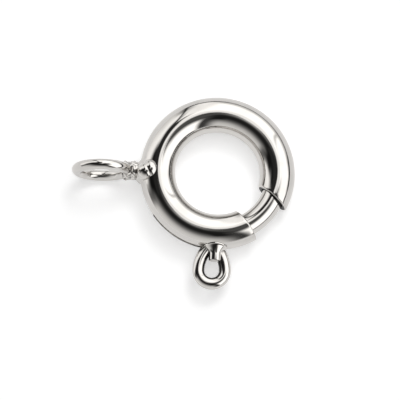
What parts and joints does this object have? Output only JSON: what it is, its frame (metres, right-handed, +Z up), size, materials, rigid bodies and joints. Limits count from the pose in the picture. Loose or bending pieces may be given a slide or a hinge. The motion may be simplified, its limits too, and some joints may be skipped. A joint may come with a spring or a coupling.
{
  "type": "spring ring clasp",
  "caption": "Round hollow spring ring clasp with a sliding sprung tongue, a small ring-shaped thumb trigger and an upright soldered end loop.",
  "frame": {"origin": "centre of the ring; the surface the clasp lies on is about 1 mm below it", "axes": "+X from the end loop through the ring's centre, +Y away from the trigger, +Z up from the surface the clasp lies on; the ring's plane leans 4 degrees about Y because the end loop is taller than the tube"},
  "size_m": [0.0101, 0.0089, 0.0027],
  "materials": {
    "case_silver": "polished silver",
    "tongue_silver": "polished silver",
    "trigger_silver": "polished silver",
    "spring_steel": "drawn spring wire"
  },
  "bodies": {
    "case": {"ring_body": "case_silver", "spring": "spring_steel"},
    "bolt": {"tongue": "tongue_silver", "trigger": "trigger_silver"}
  },
  "joints": [
    {"name": "tongue_slide", "type": "hinge", "parent": "case", "child": "bolt", "pos_m": [0, 0, 0], "axis": [-0.0714, 0, -0.9974], "range_deg": [0, 52], "stiffness_Nm_per_rad": 0.004, "springref_deg": -20.05, "deforming": ["spring"]}
  ]
}
